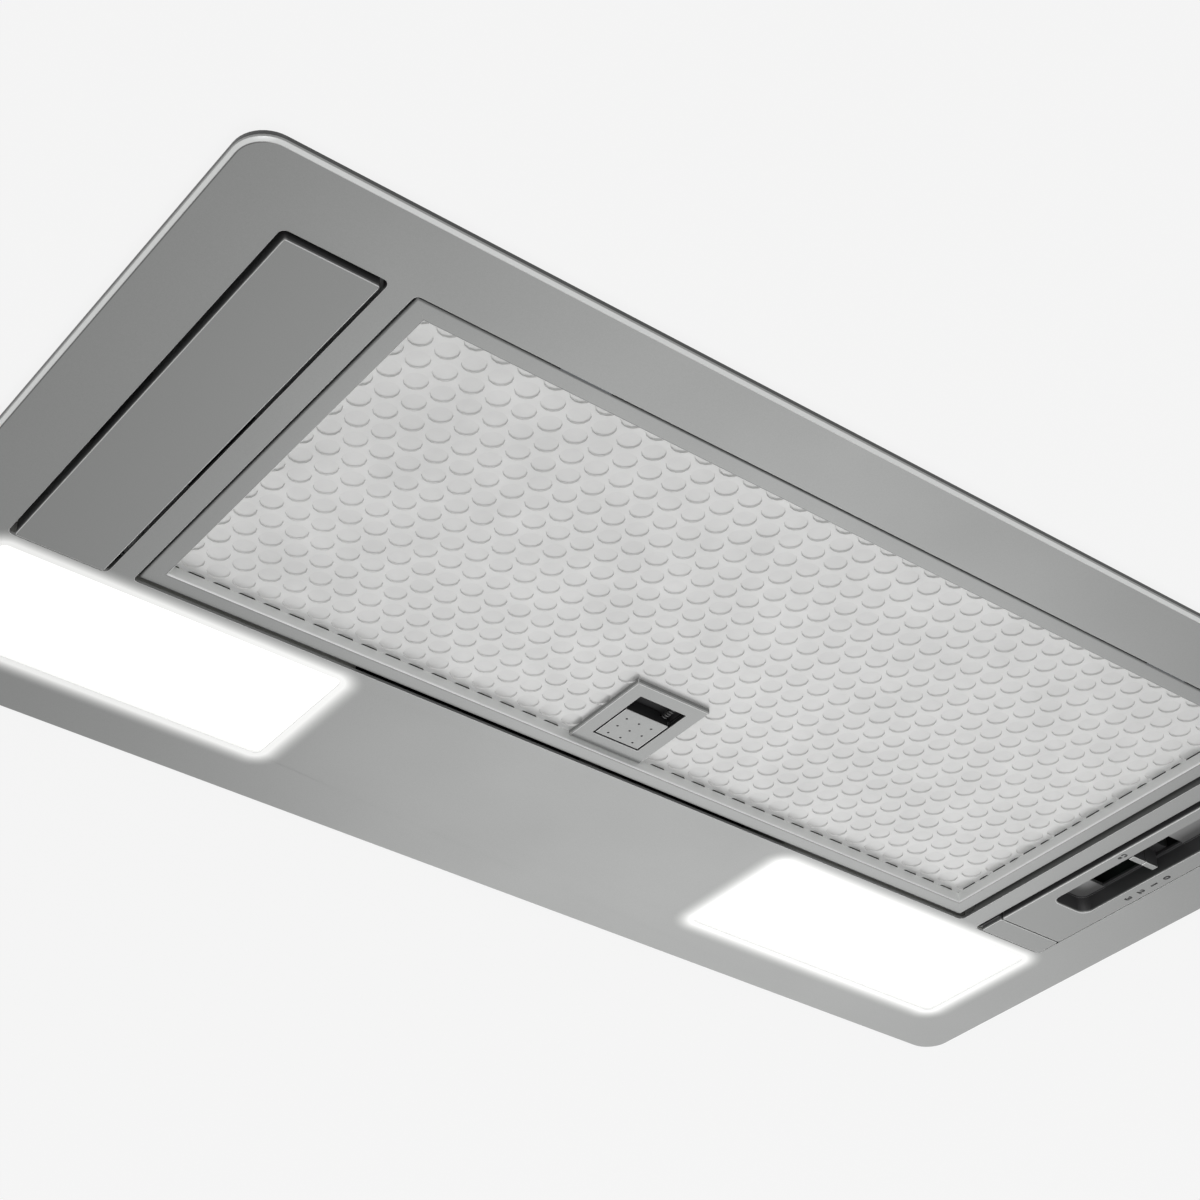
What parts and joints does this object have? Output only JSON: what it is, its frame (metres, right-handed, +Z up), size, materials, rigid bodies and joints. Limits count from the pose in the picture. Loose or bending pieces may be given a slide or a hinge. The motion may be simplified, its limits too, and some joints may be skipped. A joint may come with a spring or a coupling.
{
  "type": "range hood",
  "caption": "Range hood for the underside of a kitchen cabinet: flat plate with latched mesh filter, lamp panels, slide switches, blower and round duct outlet.",
  "frame": {"origin": "centre of the hood's bounding box at its lowest faces, the visible faces of the strips beside the filter", "axes": "+X along the hood towards the controls, +Y from the room towards the wall, +Z up"},
  "size_m": [0.534, 0.3, 0.25],
  "materials": {
    "silver_paint": "satin silver paint on sheet steel",
    "silver_plastic": "satin silver moulding",
    "opal_lens": "opal diffusing moulding",
    "white_paint": "white inside a lamp tray",
    "white_board": "white solder mask",
    "green_board": "green solder mask",
    "aluminium": "rolled aluminium",
    "galvanised": "galvanised sheet",
    "black_plastic": "moulded flame-retardant plastic",
    "grey_plastic": "moulded flame-retardant plastic",
    "white_plastic": "moulded terminal block",
    "zinc_steel": "zinc plate",
    "spring_steel": "bright spring steel",
    "bright_steel": "ground steel",
    "motor_core": "stacked steel core",
    "rubber": "moulded rubber"
  },
  "bodies": {
    "hood": {"underside_plate": "silver_paint", "plate_studs": "zinc_steel", "plate_nuts": "zinc_steel", "blank_strip": "silver_plastic", "control_strip": "silver_plastic", "end_strip": "silver_plastic", "switch_housing": "black_plastic", "switch_board": "green_board", "lamp_lens_left": "opal_lens", "lamp_lens_right": "opal_lens", "lamp_tray_left": "white_paint", "lamp_tray_right": "white_paint", "led_board_left": "white_board", "led_board_right": "white_board", "lamp_driver": "black_plastic", "latch_keeper": "spring_steel", "body_shell": "galvanised", "top_cover": "galvanised", "cover_screws": "zinc_steel", "scroll_inlet_half": "black_plastic", "scroll_motor_half": "black_plastic", "scroll_screws": "zinc_steel", "inlet_ring": "black_plastic", "motor_plate": "galvanised", "motor_bushes": "rubber", "motor_front_cap": "aluminium", "motor_stator": "motor_core", "motor_rear_cap": "aluminium", "motor_screws": "zinc_steel", "outlet_collar": "black_plastic", "outlet_screws": "zinc_steel", "flap_axles": "zinc_steel", "terminal_box": "grey_plastic", "terminal_lid": "grey_plastic", "terminal_block": "white_plastic", "cable_gland": "black_plastic", "capacitor": "aluminium", "clamp_studs": "zinc_steel", "clamp_nuts": "zinc_steel"},
    "filter_cassette": {"filter_rail_front": "aluminium", "filter_rail_rear": "aluminium", "filter_rail_left": "aluminium", "filter_rail_right": "aluminium", "filter_front_sheet": "aluminium", "filter_mesh_pack": "aluminium", "filter_back_sheet": "aluminium", "filter_hooks": "zinc_steel", "latch_housing": "silver_plastic", "latch_spring": "spring_steel"},
    "latch": {"latch_button": "silver_plastic"},
    "fan_switch": {"fan_slider": "silver_plastic"},
    "light_switch": {"light_slider": "silver_plastic"},
    "rotor": {"impeller": "galvanised", "fan_shaft": "bright_steel", "motor_rotor": "motor_core"},
    "flap_front": {"flap_front": "black_plastic"},
    "flap_rear": {"flap_rear": "black_plastic"},
    "clamp_left": {"clamp_left": "galvanised"},
    "clamp_right": {"clamp_right": "galvanised"}
  },
  "joints": [
    {"name": "filter_hinge", "type": "hinge", "parent": "hood", "child": "filter_cassette", "pos_m": [0, -0.1215, 0.0029], "axis": [-1, 0, 0], "range_deg": [0, 75], "deforming": ["latch_keeper"]},
    {"name": "latch_slide", "type": "slide", "parent": "filter_cassette", "child": "latch", "axis": [0, -1, 0], "range_m": [0, 0.006], "stiffness_N_per_m": 400, "springref_m": -0.004, "deforming": ["latch_spring"]},
    {"name": "fan_switch_slide", "type": "slide", "parent": "hood", "child": "fan_switch", "axis": [0, 1, 0], "range_m": [0, 0.021]},
    {"name": "light_switch_slide", "type": "slide", "parent": "hood", "child": "light_switch", "axis": [0, -1, 0], "range_m": [0, 0.008]},
    {"name": "fan_spin", "type": "hinge", "parent": "hood", "child": "rotor", "pos_m": [0, -0.04, 0.11], "axis": [1, 0, 0], "continuous": true},
    {"name": "flap_front_hinge", "type": "hinge", "parent": "hood", "child": "flap_front", "pos_m": [0, 0.015, 0.2172], "axis": [-1, 0, 0], "range_deg": [0, 75]},
    {"name": "flap_rear_hinge", "type": "hinge", "parent": "hood", "child": "flap_rear", "pos_m": [0, 0.025, 0.2172], "axis": [1, 0, 0], "range_deg": [0, 75]},
    {"name": "clamp_left_slide", "type": "slide", "parent": "hood", "child": "clamp_left", "axis": [0, 0, 1], "range_m": [-0.006, 0.008]},
    {"name": "clamp_right_slide", "type": "slide", "parent": "hood", "child": "clamp_right", "axis": [0, 0, 1], "range_m": [-0.006, 0.008]}
  ]
}
